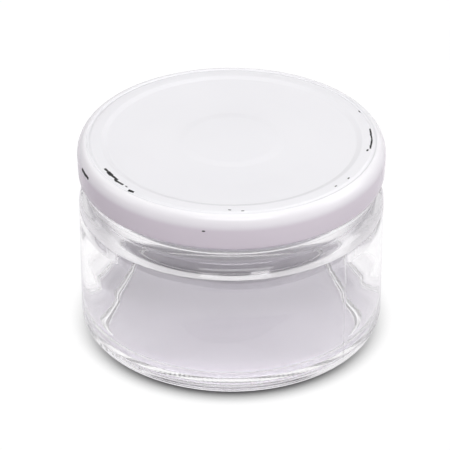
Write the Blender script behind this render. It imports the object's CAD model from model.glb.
import bpy
import math
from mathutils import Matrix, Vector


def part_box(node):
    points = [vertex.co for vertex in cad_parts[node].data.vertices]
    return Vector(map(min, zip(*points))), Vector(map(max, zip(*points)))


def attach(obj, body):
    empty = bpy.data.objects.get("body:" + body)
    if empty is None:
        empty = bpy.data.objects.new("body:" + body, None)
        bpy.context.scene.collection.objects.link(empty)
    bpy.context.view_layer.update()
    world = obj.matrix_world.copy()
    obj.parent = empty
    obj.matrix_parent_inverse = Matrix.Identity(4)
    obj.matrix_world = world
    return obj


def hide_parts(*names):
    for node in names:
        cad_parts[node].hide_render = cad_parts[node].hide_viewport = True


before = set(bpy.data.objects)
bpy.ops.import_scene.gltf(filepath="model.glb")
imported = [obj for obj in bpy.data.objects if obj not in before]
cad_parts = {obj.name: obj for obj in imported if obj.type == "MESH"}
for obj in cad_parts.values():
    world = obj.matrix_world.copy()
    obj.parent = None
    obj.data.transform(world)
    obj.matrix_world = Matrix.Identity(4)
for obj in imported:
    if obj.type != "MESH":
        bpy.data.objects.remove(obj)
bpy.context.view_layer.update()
MM = 0.001

# Camera: a long lens from just over 31 degrees above the table, so that the ellipses of lid and heel
# hardly taper. It looks at the middle of the jar's height, a little to the left of its axis.
CAMERA_ELEVATION = math.radians(31.6)
CAMERA_DISTANCE = 0.837
LENS = 236.0
SENSOR = 36.0
aim = (-1.8 * MM, 0.0, 29.7 * MM)
camera_data = bpy.data.cameras.new("camera")
camera_data.lens = LENS
camera_data.sensor_width = SENSOR
camera = bpy.data.objects.new("camera", camera_data)
bpy.context.collection.objects.link(camera)
camera.location = (aim[0], -CAMERA_DISTANCE * math.cos(CAMERA_ELEVATION),
                   aim[2] + CAMERA_DISTANCE * math.sin(CAMERA_ELEVATION))
camera.rotation_euler = (math.pi / 2 - CAMERA_ELEVATION, 0.0, 0.0)
bpy.context.scene.camera = camera

# Glass jar: one pressed piece of clear soda glass. The two halves of its mould leave a seam down
# each side, the bottom plate leaves a fine line and a few tally bars at the heel, and the finish
# carries six short thread ribs that the lid's lugs run under. Sizes are in millimetres.
jar_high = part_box("glass_jar")[1] / MM
RIM = jar_high.z
BODY = jar_high.x - 0.12
WALL = 2.3
HEEL = 4.4
BASE_TOP = 5.0
PUSH_UP = 1.6
RING_INNER = 34.95
LINE_DEPTH = 0.16
PLATE_LINE = math.radians(-26.0)
PLATE_LINE_WIDTH = math.radians(4.5)
PARTING_LINE = 38.6
PARTING_DEPTH = 0.2
NECK = 40.4
BEAD = 41.7
BEAD_HEIGHT = 2.1
BEAD_TOP = 47.7
FINISH = 39.8
MOUTH = 37.2
SHOULDER = 36.3
SEAMS = (math.radians(-43.0), math.radians(137.0))
SEAM_PROUD = 0.1
SEAM_HALF = math.radians(0.3)
THREAD_STARTS = 6
THREAD_LEAD = 21.0
THREAD_TURN = math.radians(52.0)
THREAD_FIRST = math.radians(-9.0)
THREAD_FOOT = 49.0
THREAD_PROUD = 1.38
THREAD_HEIGHT = 1.3
THREAD_END = math.radians(5)
COLUMNS = 720


def rounded(corners, fine=14.0):
    """An outline through (radius, level, rounding) corners, each rounding drawn as an arc."""
    points = []
    for number, (radius, level, bend) in enumerate(corners):
        if not bend:
            points.append((radius, level))
            continue
        before, after = corners[number - 1], corners[number + 1]
        ways = []
        for other in (before, after):
            run = (other[0] - radius, other[1] - level)
            length = math.hypot(*run)
            ways.append((run[0] / length, run[1] / length))
        half = math.acos(max(-1.0, min(1.0, ways[0][0] * ways[1][0] + ways[0][1] * ways[1][1]))) / 2
        middle = (ways[0][0] + ways[1][0], ways[0][1] + ways[1][1])
        scale = bend / math.sin(half) / math.hypot(*middle)
        centre = (radius + middle[0] * scale, level + middle[1] * scale)
        reach = bend / math.tan(half)
        first = (radius + ways[0][0] * reach, level + ways[0][1] * reach)
        last = (radius + ways[1][0] * reach, level + ways[1][1] * reach)
        start = math.atan2(first[1] - centre[1], first[0] - centre[0])
        turn = math.atan2(last[1] - centre[1], last[0] - centre[0]) - start
        turn = (turn + math.pi) % (2 * math.pi) - math.pi
        steps = max(2, round(abs(turn) / math.radians(fine)))
        for step in range(steps + 1):
            angle = start + turn * step / steps
            points.append((centre[0] + bend * math.cos(angle), centre[1] + bend * math.sin(angle)))
    return points


def divided(points, levels, pitch):
    """Add points to an outline's straight runs where they lie between two levels."""
    result = [points[0]]
    for start, stop in zip(points, points[1:]):
        inside = levels[0] <= min(start[1], stop[1]) and max(start[1], stop[1]) <= levels[1]
        steps = max(1, round(math.dist(start, stop) / pitch)) if inside else 1
        for step in range(1, steps + 1):
            part = step / steps
            result.append((start[0] + (stop[0] - start[0]) * part,
                           start[1] + (stop[1] - start[1]) * part))
    return result


def turned(name, outline, angles, shift=None):
    """Turn an outline about the axis into a closed smooth mesh; shift moves each radius a little."""
    vertices, faces, rings = [], [], []
    for radius, level in outline:
        if radius < 1e-9:
            rings.append([len(vertices)])
            vertices.append((0.0, 0.0, level))
            continue
        rings.append(list(range(len(vertices), len(vertices) + len(angles))))
        for angle in angles:
            reach = radius + (shift(radius, level, angle) if shift else 0.0)
            vertices.append((reach * math.cos(angle), reach * math.sin(angle), level))
    closed = len(rings[0]) > 1
    pairs = list(zip(rings, rings[1:])) + ([(rings[-1], rings[0])] if closed else [])
    for lower, upper in pairs:
        for here in range(len(angles)):
            there = (here + 1) % len(angles)
            if len(lower) == 1:
                faces.append((lower[0], upper[there], upper[here]))
            elif len(upper) == 1:
                faces.append((lower[here], lower[there], upper[0]))
            else:
                faces.append((lower[here], lower[there], upper[there], upper[here]))
    mesh = bpy.data.meshes.new(name)
    mesh.from_pydata([tuple(c * MM for c in vertex) for vertex in vertices], [], faces)
    mesh.shade_smooth()
    return mesh


def heel_arc(start, stop, steps):
    """The heel below the body, with the fine line where the bottom plate of the mould met its halves."""
    points = []
    for step in range(steps + 1):
        angle = math.radians(start + (stop - start) * step / steps)
        reach = HEEL - LINE_DEPTH * max(0.0, 1.0 - abs(angle - PLATE_LINE) / PLATE_LINE_WIDTH)
        points.append((BODY - HEEL + reach * math.cos(angle), HEEL + reach * math.sin(angle), 0))
    return points


jar_outline = rounded([
    (0.0, PUSH_UP, 0),
    (33.2, PUSH_UP, 4.0),
    (RING_INNER, 0.0, 0.5),
    *heel_arc(-90.0, 0.0, 36),
    (BODY, 4.6, 0),
    (BODY - LINE_DEPTH, 4.85, 0),
    (BODY, 5.1, 0),
    (BODY, PARTING_LINE - 0.3, 0),
    (BODY - PARTING_DEPTH, PARTING_LINE, 0),
    (BODY, PARTING_LINE + 0.3, 0),
    (BODY, 40.6, 3.4),
    (NECK, 42.6, 1.6),
    (NECK, BEAD_TOP - BEAD_HEIGHT, 0.3),
    (BEAD, BEAD_TOP - BEAD_HEIGHT, 0.8),
    (BEAD, BEAD_TOP, 0.8),
    (FINISH, BEAD_TOP, 0.3),
    (FINISH, RIM, 0.9),
    (MOUTH, RIM, 0.9),
    (MOUTH, 39.6, 1.0),
    (39.55, 36.6, 1.0),
    (39.65, 33.0, 6.0),
    (BODY - WALL, 25.0, 12.0),
    (BODY - WALL, 4.6, 5.0),
    (0.0, BASE_TOP, 0),
])
jar_outline = divided(jar_outline, (THREAD_FOOT - 1.0, THREAD_FOOT + 6.5), 0.28)
jar_outline = divided(jar_outline, (8.0, SHOULDER), 2.2)
jar_angles = [2 * math.pi * column / COLUMNS for column in range(COLUMNS)]
for seam in SEAMS:
    jar_angles += [seam % (2 * math.pi) + math.radians(offset) for offset in (-0.32, -0.14, 0.14, 0.32)]
jar_angles = sorted(jar_angles)


def smooth(value):
    """0 below 0, 1 above 1, and a smooth rise between them."""
    value = max(0.0, min(1.0, value))
    return value * value * (3.0 - 2.0 * value)


def jar_shift(radius, level, angle):
    """Threads and seams on the outside, and the slight waviness of pressed glass on the inside."""
    if abs(radius - FINISH) < 0.01 and level > BEAD_TOP:
        along = (angle - THREAD_FIRST) % (2 * math.pi / THREAD_STARTS)
        if along > THREAD_TURN:
            return 0.0
        middle = THREAD_FOOT + THREAD_HEIGHT / 2 + THREAD_LEAD * along / (2 * math.pi)
        ends = smooth(along / THREAD_END) * smooth((THREAD_TURN - along) / THREAD_END)
        across = abs(level - middle) / THREAD_HEIGHT * 2
        return THREAD_PROUD * ends * smooth((1.25 - across) / 0.8)
    if radius > BODY - 1.0 and 4.3 < level < SHOULDER + 2.0:
        near = min(abs((angle - seam + math.pi) % (2 * math.pi) - math.pi) for seam in SEAMS)
        return SEAM_PROUD * smooth(1.0 - near / SEAM_HALF)
    if abs(radius - (BODY - WALL)) < 0.01:
        fade = smooth((level - 8.0) / 6.0) * smooth((SHOULDER - level) / 6.0)
        wave = math.sin(3 * angle + 0.09 * level + 0.6) * 0.10
        wave += math.sin(7 * angle - 0.17 * level) * 0.035
        wave += math.sin(0.21 * level + 2 * angle) * 0.06
        return wave * fade
    return 0.0


class Wire:
    """One output of a node, so that sums on its values read as plain Python."""

    def __init__(self, maker, socket):
        self.maker = maker
        self.socket = socket

    def math(self, operation, *others):
        """One Math node on this value and others."""
        values = {f"_{slot}": value for slot, value in enumerate((self, *others))}
        return self.maker.node("Math", {"operation": operation}, **values)

    def __add__(self, other):
        return self.math("ADD", other)

    def __sub__(self, other):
        return self.math("SUBTRACT", other)

    def __rsub__(self, other):
        return (self * -1.0).math("ADD", other)

    def __mul__(self, other):
        return self.math("MULTIPLY", other)

    def __truediv__(self, other):
        return self.math("DIVIDE", other)

    __radd__ = __add__
    __rmul__ = __mul__

    def step(self, low, high):
        """0 below low, 1 above high, and a smooth rise between them."""
        return self.maker.node("MapRange", {"interpolation_type": "SMOOTHSTEP"}, out="Result",
                               Value=self, From_Min=low, From_Max=high)

    def band(self, low, high, soft):
        """1 between low and high, with soft edges."""
        return self.step(low - soft, low + soft) * (1.0 - self.step(high - soft, high + soft))


class Tree:
    """A node tree in the making, with the one method that adds every node to it."""

    def __init__(self, tree):
        self.tree = tree

    def node(self, kind, settings=None, out=0, **inputs):
        """Add a node, settings first, and give one output; _3 is input 3, a list is several links."""
        whole_name = kind.startswith(("GeometryNode", "NodeGroup"))
        node = self.tree.nodes.new(kind if whole_name else "ShaderNode" + kind)
        for key, value in (settings or {}).items():
            if key == "stops":
                for stop, (place, colour) in zip(node.color_ramp.elements, value):
                    stop.position, stop.color = place, (*colour, 1.0)
            else:
                setattr(node, key, value)
        for key, value in inputs.items():
            socket = node.inputs[int(key[1:])] if key[0] == "_" else node.inputs[key.replace("_", " ")]
            for item in value if isinstance(value, list) else [value]:
                if isinstance(item, Wire):
                    self.tree.links.new(item.socket, socket)
                else:
                    socket.default_value = item
        return Wire(self, node.outputs[out]) if node.outputs else None

    def axes(self, vector):
        """The three numbers of a vector."""
        splitter = self.node("SeparateXYZ", _0=vector).socket.node
        return [Wire(self, socket) for socket in splitter.outputs]

    def mix(self, factor, first, second):
        """A colour between two others."""
        return self.node("Mix", {"data_type": "RGBA"}, out=2, _0=factor, _6=first, _7=second)

    def ray(self, kind):
        """1 for one kind of ray of light, and 0 for the others."""
        return self.node("LightPath", out=kind)


class Finish(Tree):
    """A material under construction, on the piece's own coordinates."""

    def __init__(self, name):
        self.material = bpy.data.materials.new(name)
        self.material.use_nodes = True
        super().__init__(self.material.node_tree)
        self.tree.nodes.clear()
        self.place = self.node("TexCoord", out="Object")

    def noise(self, scale, detail=3.0, roughness=0.5):
        """Clouds between 0 and 1 that stay with the piece."""
        return self.node("TexNoise", out="Fac", Vector=self.place, Scale=scale, Detail=detail,
                         Roughness=roughness)

    def end(self, surface):
        """Give the material its surface."""
        self.node("OutputMaterial", Surface=surface)
        return self.material


CLEAR_TONE = (0.99, 0.985, 0.992, 1.0)
THICK_TONE = (0.55, 0.535, 0.56, 1.0)
GLASS_SHADE = (0.94, 0.93, 0.95, 1.0)
GLASS_IOR = 1.5
# Levels between which each edge of the thick glass fades, and how far its foot sags and waves in
# front.
THICK_FOOT = (37.9, 38.5)
THICK_HEAD = (41.5, 43.5)
THICK_HEAD_BESIDE = (45.0, 45.8)
THICK_SAG = 2.3
THICK_WAVE = 4.0
glass = Finish("clear_glass")
glass_x, glass_y, glass_z = glass.axes(glass.place)
glass_level = glass_z / MM
ripple = glass.node("Bump", out="Normal", Strength=0.06, Distance=0.6 * MM,
                    Height=glass.noise(45.0, 1.0))
seeds = glass.noise(900.0, 1.0).step(0.74, 0.8)
smear = glass.noise(35.0, 4.0, 0.6).step(0.5, 0.75)
# Shoulder and neck are thick glass and let less light through, most of all at both sides. In front
# the thick part has a lower, wavy edge.
in_front = 1.0 - glass_y.step(-42.0 * MM, -22.0 * MM)
sag = in_front * (THICK_SAG + (glass.noise(22.0, 1.0) - 0.5) * THICK_WAVE)
beside = glass_x.math("ABSOLUTE").step(28.0 * MM, 36.0 * MM)
thick = (glass_level + sag).step(*THICK_FOOT) * (0.58 + beside * 0.42)
above_it = glass_level.step(*THICK_HEAD) * (1.0 - beside) + glass_level.step(*THICK_HEAD_BESIDE) * beside
thick = thick * (1.0 - above_it * 0.8)
glass_body = glass.node(
    "BsdfPrincipled", Base_Color=glass.mix(thick, CLEAR_TONE, THICK_TONE), IOR=GLASS_IOR,
    Transmission_Weight=1.0, Roughness=0.006 + smear * 0.03 + seeds * 0.05, Normal=ripple)
glass_shadow = glass.node("BsdfTransparent", Color=GLASS_SHADE)
clear_glass = glass.end(glass.node("MixShader", _0=glass.ray("Is Shadow Ray"), _1=glass_body,
                                   _2=glass_shadow))


class Shaping(Tree):
    """A Geometry Nodes tree with a mesh in, a mesh out and one named input for each size."""

    def __init__(self, name, sizes):
        super().__init__(bpy.data.node_groups.new(name, "GeometryNodeTree"))
        self.sizes = sizes
        sockets = self.tree.interface
        sockets.new_socket("Geometry", in_out="INPUT", socket_type="NodeSocketGeometry")
        sockets.new_socket("Geometry", in_out="OUTPUT", socket_type="NodeSocketGeometry")
        for key, value in sizes.items():
            kind = "NodeSocketMaterial" if isinstance(value, bpy.types.Material) else (
                "NodeSocketObject" if isinstance(value, bpy.types.Object) else "NodeSocketFloat")
            sockets.new_socket(key, in_out="INPUT", socket_type=kind)

    def given(self, name):
        """One of the tree's named inputs."""
        return self.node("NodeGroupInput", out=name)

    def finished(self, name, mesh, geometry):
        """Close the tree, run it on a mesh, keep the result as a plain mesh and drop the modifier."""
        real = self.node("GeometryNodeRealizeInstances", _0=geometry)
        painted = self.node("GeometryNodeSetMaterial", Geometry=real, Material=self.given("Material"))
        self.node("NodeGroupOutput", _0=painted)
        carrier = bpy.data.objects.new(name + "_blank", mesh)
        bpy.context.collection.objects.link(carrier)
        modifier = carrier.modifiers.new(self.tree.name, "NODES")
        modifier.node_group = self.tree
        for item in self.tree.interface.items_tree:
            if item.in_out == "INPUT" and item.name in self.sizes:
                modifier[item.identifier] = self.sizes[item.name]
        graph = bpy.context.evaluated_depsgraph_get()
        result = bpy.data.meshes.new_from_object(carrier.evaluated_get(graph))
        result.name = name
        bpy.data.objects.remove(carrier)
        piece = bpy.data.objects.new(name, result)
        bpy.context.collection.objects.link(piece)
        return piece


# Bars and dots are counted for a full turn. The tally keeps a few of the bars, from one bearing to
# another, and the stippling keeps all its dots, between two radii.
TALLY_FIRST = math.radians(-152.0)
TALLY_LAST = math.radians(-124.0)
TALLY_FOOT = 2.95 * MM
TALLY_HEAD = 4.35 * MM
STIPPLE_INNER = 31.9 * MM
STIPPLE_OUTER = 32.7 * MM
MARK_SIZES = {"Dots": 164.0, "Bars": 90.0, "Depth": 0.2 * MM, "Material": clear_glass}
marks = Shaping("heel_marks", MARK_SIZES)
mark_x, mark_y, mark_z = marks.axes(marks.node("GeometryNodeInputPosition"))
mark_bearing = mark_y.math("ARCTAN2", mark_x)
mark_reach = (mark_x * mark_x + mark_y * mark_y).math("SQRT")
# Raised bars of the mould's tally, in a short row on the heel.
bar_wave = ((mark_bearing * marks.given("Bars") / (2 * math.pi)).math("FRACT") - 0.5).math("ABSOLUTE")
tally = (1.0 - bar_wave.step(0.26, 0.4)) * mark_bearing.band(TALLY_FIRST, TALLY_LAST, 0.004)
tally = tally * mark_z.band(TALLY_FOOT, TALLY_HEAD, 0.1 * MM) * mark_reach.step(41.0 * MM, 41.4 * MM)
push = tally * marks.given("Depth") / mark_reach * 0.55
# Stippling all round the underside, just inside the ring that the jar stands on.
dot_wave = ((mark_bearing * marks.given("Dots") / (2 * math.pi)).math("FRACT") - 0.5).math("ABSOLUTE")
dots = dot_wave.step(0.2, 0.45) * (1.0 - mark_z.step(2.0 * MM, 2.2 * MM))
dots = dots * mark_reach.band(STIPPLE_INNER, STIPPLE_OUTER, 0.15 * MM)
dent = dots * marks.given("Depth") * -0.16
offset = marks.node("CombineXYZ", X=push * mark_x, Y=push * mark_y, Z=dent)
marked = marks.node("GeometryNodeSetPosition", Geometry=marks.given("Geometry"), Offset=offset)
jar = marks.finished("jar_glass", turned("jar_glass", jar_outline, jar_angles, jar_shift), marked)
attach(jar, "jar")
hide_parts("glass_jar")

# Sealing ring: off-white compound flowed into the lid's channel and cured there. It keeps its
# shape from the frame and only gets its finish here.
SEAL_DARK = (0.76, 0.75, 0.71)
SEAL_PALE = (0.84, 0.83, 0.79)
seal = Finish("seal_compound")
seal_tone = seal.noise(400.0, 3.0)
seal_colour = seal.node("ValToRGB", {"stops": [(0.3, SEAL_DARK), (0.7, SEAL_PALE)]}, Fac=seal_tone)
seal_bump = seal.node("Bump", out="Normal", Strength=0.2, Distance=0.1 * MM, Height=seal.noise(1500.0))
seal_compound = seal.end(seal.node("BsdfPrincipled", Base_Color=seal_colour, Normal=seal_bump,
                                   Roughness=0.45 + seal_tone * 0.15))
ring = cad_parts["sealing_ring"]
ring.data.materials.clear()
ring.data.materials.append(seal_compound)

# Lid: one drawn sheet of tinplate with white enamel baked on both sides. Its edge is rolled
# inwards, and six lugs are pressed out of that roll to run under the glass threads. The enamel has
# flaked off in a few places along the stacking ring, where other jars have stood and rubbed.
lid_low, lid_high = (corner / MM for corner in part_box("lid_shell"))
LID = lid_high.x
TOP = lid_high.z
FOOT = lid_low.z
SHEET = 0.22
CURL = 0.8
PANEL = TOP - 0.5
BUTTON_RISE = 0.15
STACK_INNER = 36.4
GROOVE = 40.0
GROOVE_DEPTH = 0.36
SHOULDER_OUT = 2.5
SHOULDER_DROP = 4.0
SKIRT_TAPER = 0.2
LID_COLUMNS = 480
LUG_ROOT = LID - CURL
LUG_TIP = FINISH + 0.3
LUG_FOOT = FOOT + 0.45
LUG_HEAD = FOOT + 1.25
LUG_EDGE = 0.39
LUG_HALF_TURN = math.radians(5.0)
LUG_COLUMNS = 14


def shoulder_arc(inset, steps):
    """The lid's outer shoulder, a quarter of an ellipse, drawn this far inside the outer face."""
    quarter = [math.pi / 2 * step / steps for step in range(steps + 1)]
    return [(LID - SHOULDER_OUT + (SHOULDER_OUT - inset) * math.sin(angle),
             TOP - SHOULDER_DROP + (SHOULDER_DROP - inset) * math.cos(angle))
            for angle in quarter]


def curl_arc(radius):
    """The rolled edge at the foot of the skirt, from outside, under and up on the inside."""
    turns = [math.radians(-15.0 * step) for step in range(19)]
    return [(LID - SKIRT_TAPER - CURL + radius * math.cos(turn), FOOT + CURL + radius * math.sin(turn))
            for turn in turns]


middle_out = [
    (0.0, PANEL + BUTTON_RISE, 0),
    (12.5, PANEL + BUTTON_RISE, 8.0),
    (15.0, PANEL, 8.0),
    (STACK_INNER - 1.5, PANEL, 1.2),
    (STACK_INNER, TOP, 1.2),
    (GROOVE - 0.7, TOP, 0.5),
    (GROOVE + 0.05, TOP - GROOVE_DEPTH, 0.5),
    (GROOVE + 0.55, TOP, 0.15),
    (LID - SHOULDER_OUT, TOP, 0),
]
top_side = rounded(middle_out, 9.0)[:-1] + shoulder_arc(0.0, 14) + curl_arc(CURL)
middle_in = [(radius, level - SHEET, bend) for radius, level, bend in middle_out]
under_side = rounded(middle_in, 15.0) + shoulder_arc(SHEET, 8)[1:] + curl_arc(CURL - SHEET)
lid_outline = (top_side + under_side[::-1])[::-1]
lid_angles = [2 * math.pi * column / LID_COLUMNS for column in range(LID_COLUMNS)]

PANEL_GREY = (0.83, 0.83, 0.85)
PANEL_WHITE = (0.87, 0.87, 0.885)
STEEL_DARK = (0.008, 0.008, 0.009)
STEEL_PALE = (0.07, 0.068, 0.065)
SKIRT_WHITE = (0.815, 0.775, 0.815, 1.0)
SHOULDER_WHITE = (0.905, 0.9, 0.915, 1.0)
# Flaked places on top: first and last bearing in degrees, radius, half width, cover.
FLAKES = [
    (-154.4, -148.6, 38.5, 0.34, 0.46), (-151.4, -148.0, 38.45, 0.62, 0.44),
    (-149.0, -143.6, 38.5, 0.36, 0.5), (-145.0, -139.2, 39.0, 0.32, 0.5),
    (-138.2, -136.6, 38.8, 0.2, 0.6), (-135.0, -132.2, 39.4, 0.3, 0.44),
    (-10.8, -9.2, 38.3, 0.3, 0.5), (-8.6, -0.5, 38.95, 0.26, 0.5), (-0.5, 8.0, 39.05, 0.24, 0.5),
    (21.8, 23.6, 39.3, 0.2, 0.46), (-35.0, -33.8, 38.6, 0.22, 0.45),
    (-43.2, -42.0, 38.4, 0.2, 0.46), (-86.3, -85.1, 39.0, 0.22, 0.42),
    (-91.4, -90.2, 38.5, 0.22, 0.46), (-20.6, -19.4, 42.3, 0.25, 0.45),
]
# Knocked places on the outside of shoulder and skirt: bearings, level, half width, cover.
KNOCKS = [(-163.6, -155.9, 55.2, 0.42, 0.42), (-100.7, -99.5, 53.8, 0.2, 0.44)]
enamel = Finish("white_enamel")
lid_x, lid_y, lid_z = enamel.axes(enamel.place)
lid_level = lid_z / MM
from_axis = (lid_x * lid_x + lid_y * lid_y).math("SQRT") / MM
lid_bearing = lid_y.math("ARCTAN2", lid_x) * (180 / math.pi)
ragged = (enamel.noise(1300.0, 4.0, 0.75) - 0.5) * 2.0
stray = (enamel.noise(330.0, 2.0) - 0.5) * 0.8
on_top = lid_z.step((TOP - 0.6) * MM, (TOP - 0.4) * MM)
on_outside = from_axis.step(42.0, 42.2)
worn = None
for places, run_across, mask in ((FLAKES, from_axis, on_top), (KNOCKS, lid_level, on_outside)):
    for first, last, centre, half_width, cover in places:
        patch = (run_across + stray).band(centre - half_width, centre + half_width, 0.1)
        patch = lid_bearing.band(first, last, 0.5) * patch
        patch = (patch + ragged * 0.5).step(cover, cover + 0.08) * mask
        worn = patch if worn is None else worn.math("MAXIMUM", patch)
white = enamel.node("ValToRGB", {"stops": [(0.3, PANEL_GREY), (0.7, PANEL_WHITE)]},
                    Fac=enamel.noise(18.0, 3.0))
steel = enamel.node("ValToRGB", {"stops": [(0.4, STEEL_DARK), (0.8, STEEL_PALE)]},
                    Fac=enamel.noise(1200.0, 3.0))
# The enamel lies thicker and whiter on the shoulder than on the drawn skirt.
on_skirt = 1.0 - lid_level.step(TOP - 4.4, TOP - 2.2)
on_shoulder = from_axis.step(40.4, 41.0) * (1.0 - on_skirt)
coat = enamel.mix(on_shoulder, enamel.mix(on_skirt, white, SKIRT_WHITE), SHOULDER_WHITE)
peel = enamel.node("Bump", out="Normal", Strength=0.35, Distance=0.08 * MM,
                   Height=enamel.noise(420.0, 2.0) * 0.25 + (1.0 - worn))
white_enamel = enamel.end(enamel.node(
    "BsdfPrincipled", Base_Color=enamel.mix(worn, coat, steel), Metallic=worn * 0.15, Normal=peel,
    Roughness=0.12 + enamel.noise(45.0, 4.0) * 0.1 + worn * 0.45))

lug_outline = rounded([
    (LUG_ROOT, LUG_FOOT, 0),
    (LUG_ROOT, LUG_HEAD, 0),
    (LUG_TIP, LUG_HEAD, LUG_EDGE),
    (LUG_TIP, LUG_FOOT, 0),
], 30.0)


def pressed_lug():
    """One lug: the flattened roll, wide at the root and rounded off at both ends."""
    vertices, faces = [], []
    count = len(lug_outline)
    for column in range(LUG_COLUMNS + 1):
        angle = LUG_HALF_TURN * (2 * column / LUG_COLUMNS - 1)
        fade = math.sqrt(max(0.0, 1.0 - (2 * column / LUG_COLUMNS - 1) ** 4))
        for radius, level in lug_outline:
            reach = LUG_ROOT - (LUG_ROOT - radius) * fade
            vertices.append((reach * math.cos(angle) * MM, reach * math.sin(angle) * MM, level * MM))
    for column in range(LUG_COLUMNS):
        for here in range(count):
            there = (here + 1) % count
            low, high = column * count, (column + 1) * count
            faces.append((low + here, low + there, high + there, high + here))
    faces.append(tuple(range(count))[::-1])
    faces.append(tuple(range(LUG_COLUMNS * count, (LUG_COLUMNS + 1) * count)))
    mesh = bpy.data.meshes.new("lug")
    mesh.from_pydata(vertices, [], faces)
    mesh.shade_smooth()
    blank = bpy.data.objects.new("lug", mesh)
    bpy.context.collection.objects.link(blank)
    return blank


lug = pressed_lug()
lugs = Shaping("lid_lugs", {"Lugs": 6.0, "Lug": lug, "Material": white_enamel})
stations = lugs.node("GeometryNodeMeshLine", Count=lugs.given("Lugs"), Offset=(0.0, 0.0, 0.0))
pressing = lugs.node("GeometryNodeObjectInfo", out="Geometry", Object=lugs.given("Lug"))
lug_turn = lugs.node("GeometryNodeInputIndex") * (2 * math.pi) / lugs.given("Lugs")
copies = lugs.node("GeometryNodeInstanceOnPoints", Points=stations, Instance=pressing,
                   Rotation=lugs.node("CombineXYZ", Z=lug_turn))
lugged = lugs.node("GeometryNodeJoinGeometry", _0=[lugs.given("Geometry"), copies])
lid = lugs.finished("enamelled_lid", turned("enamelled_lid", lid_outline, lid_angles), lugged)
bpy.data.objects.remove(lug)
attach(lid, "lid")
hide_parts("lid_shell")

# Table: a plain white matt surface, far larger than the jar. It is seen as white, keeps the shade
# that the jar throws close to its foot, and lies a hair below the jar so that the two don't merge.
EDGE = 3.0
LEVEL = -0.03 * MM
OPEN_PAPER = (0.9, 0.885, 0.915, 1.0)
COVERED_PAPER = (0.735, 0.725, 0.747, 1.0)
BOUNCED_PAPER = (0.42, 0.36, 0.43, 1.0)
JAR_EDGE = (42.0 * MM, 52.0 * MM)
COVER_FADE = (-34.0 * MM, -15.0 * MM)
CONTACT_FADE = (-40.0 * MM, 10.0 * MM)
GLOW = 1.03
floor_mesh = bpy.data.meshes.new("floor")
floor_corners = [(-EDGE, -EDGE, LEVEL), (EDGE, -EDGE, LEVEL), (EDGE, EDGE, LEVEL), (-EDGE, EDGE, LEVEL)]
floor_mesh.from_pydata(floor_corners, [], [(0, 1, 2, 3)])
floor = bpy.data.objects.new("floor", floor_mesh)
bpy.context.collection.objects.link(floor)
table = Finish("white_table")
table_y = table.axes(table.place)[1]
from_jar = table.node("VectorMath", {"operation": "LENGTH"}, out="Value", _0=table.place)
outside = from_jar.step(*JAR_EDGE)
# Under the jar the table gets less light, least of all towards the back.
covered = (1.0 - outside) * table_y.step(*COVER_FADE)
sheet = table.mix(covered, OPEN_PAPER, COVERED_PAPER)
paper = table.mix(table.ray("Is Diffuse Ray"), sheet, BOUNCED_PAPER)
matt = table.node("BsdfDiffuse", Color=paper, Roughness=0.5)
# The white that shows is dimmed only in the jar's contact shade, which is fainter behind the jar.
open_sky = table.node("AmbientOcclusion", {"samples": 12}, out="AO", Distance=6.0 * MM)
contact = 1.0 - open_sky.step(0.0, 0.97)
lit = 1.0 - contact * (1.0 - table_y.step(*CONTACT_FADE) * 0.6)
camera_ray = table.ray("Is Camera Ray")
glass_ray = table.ray("Is Transmission Ray")
gloss_ray = table.ray("Is Glossy Ray") * (1.0 - glass_ray)
shows = camera_ray + glass_ray
shade = (lit * shows + (1.0 - shows)) * (0.995 + table.noise(90.0, 3.0) * 0.01)
glow = table.node("Emission", Color=shade, Strength=GLOW)
share = camera_ray * 0.95 + glass_ray * (outside * 0.9 + 0.05) + gloss_ray * 0.25
share = share * (1.0 - table.ray("Diffuse Depth").math("MINIMUM", 1.0))
floor_mesh.materials.append(table.end(table.node("MixShader", _0=share, _1=matt, _2=glow)))

# Light: a big soft box overhead and one on each side, with a long soft strip and two small keys in
# front. Only the strip and the side boxes mirror in the enamel. The room around is dim to work in
# and looks white, apart from a dark part in front that gives the glass its edges.
REACH = 1.15
CENTRE = (0.0, 0.0, 0.03)
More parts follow.
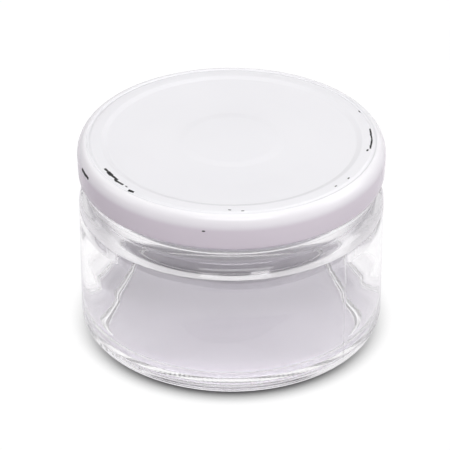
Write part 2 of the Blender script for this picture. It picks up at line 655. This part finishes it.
# Name, azimuth (0 in front, 90 on the right), elevation, width, height, watts, mirrored in gloss.
LAMPS = [
    ("top_box", 0.0, 86.0, 0.6, 0.6, 3.9, False),
    ("front_strip", 4.0, 50.0, 0.9, 0.26, 3.4, True),
    ("left_key", -19.0, 43.0, 0.25, 0.2, 0.4, False),
    ("right_key", 24.0, 39.0, 0.25, 0.2, 1.9, False),
    ("right_box", 90.0, 25.0, 0.6, 0.6, 2.5, True),
    ("left_box", -90.0, 25.0, 0.6, 0.6, 0.8, True),
]
for name, azimuth, elevation, width, height, watts, mirrored in LAMPS:
    around, up = math.radians(azimuth), math.radians(elevation)
    lamp_data = bpy.data.lights.new(name, "AREA")
    lamp_data.shape = "RECTANGLE"
    lamp_data.size, lamp_data.size_y = width, height
    lamp_data.energy = watts
    lamp = bpy.data.objects.new(name, lamp_data)
    bpy.context.collection.objects.link(lamp)
    place = Vector((REACH * math.cos(up) * math.sin(around), -REACH * math.cos(up) * math.cos(around),
                       CENTRE[2] + REACH * math.sin(up)))
    lamp.location = place
    lamp.rotation_euler = (Vector(CENTRE) - place).to_track_quat("-Z", "Y").to_euler()
    lamp.visible_glossy = mirrored

ROOM_LIGHT = (0.36, 0.3492, 0.3636, 1.0)
DARK_RISE = math.radians(20.0)
DARK_CORE = math.cos(math.radians(46.0))
DARK_EDGE = math.cos(math.radians(62.0))
LOW_ROOM = (20.0, 40.0)
world = bpy.data.worlds.new("room")
bpy.context.scene.world = world
world.use_nodes = True
world.node_tree.nodes.clear()
room = Tree(world.node_tree)
direction = room.node("TexCoord", out="Generated")
through_glass = room.ray("Is Transmission Ray")
gloss = room.ray("Is Glossy Ray")
looked_at = (room.ray("Is Camera Ray") + through_glass).math("MAXIMUM", gloss * 0.9)
looked_at = looked_at * (1.0 - room.ray("Diffuse Depth").math("MINIMUM", 1.0))
to_front = room.node("VectorMath", {"operation": "DOT_PRODUCT"}, out="Value", _0=direction,
                     _1=(0.0, -math.cos(DARK_RISE), math.sin(DARK_RISE)))
dark_part = to_front.step(DARK_EDGE, DARK_CORE) * (1.0 - room.ray("Is Camera Ray"))
# Low down the room mirrors less brightly, so that the enamel keeps its shape in low views.
rise = room.axes(direction)[2].math("ARCSINE") * (180 / math.pi)
low_mirror = gloss * (1.0 - through_glass) * (1.0 - rise.step(*LOW_ROOM))
shown = (1.0 - dark_part * 0.96) * (1.0 - low_mirror * 0.35)
room.node("OutputWorld", Surface=room.node("Background", Color=room.mix(looked_at, ROOM_LIGHT, shown)))
bpy.context.scene.view_settings.view_transform = "Standard"
# Light is thrown to and fro inside thick glass many times before it leaves.
paths = bpy.context.scene.cycles
paths.max_bounces = 32
paths.glossy_bounces = 24
paths.transmission_bounces = 32
paths.transparent_max_bounces = 24
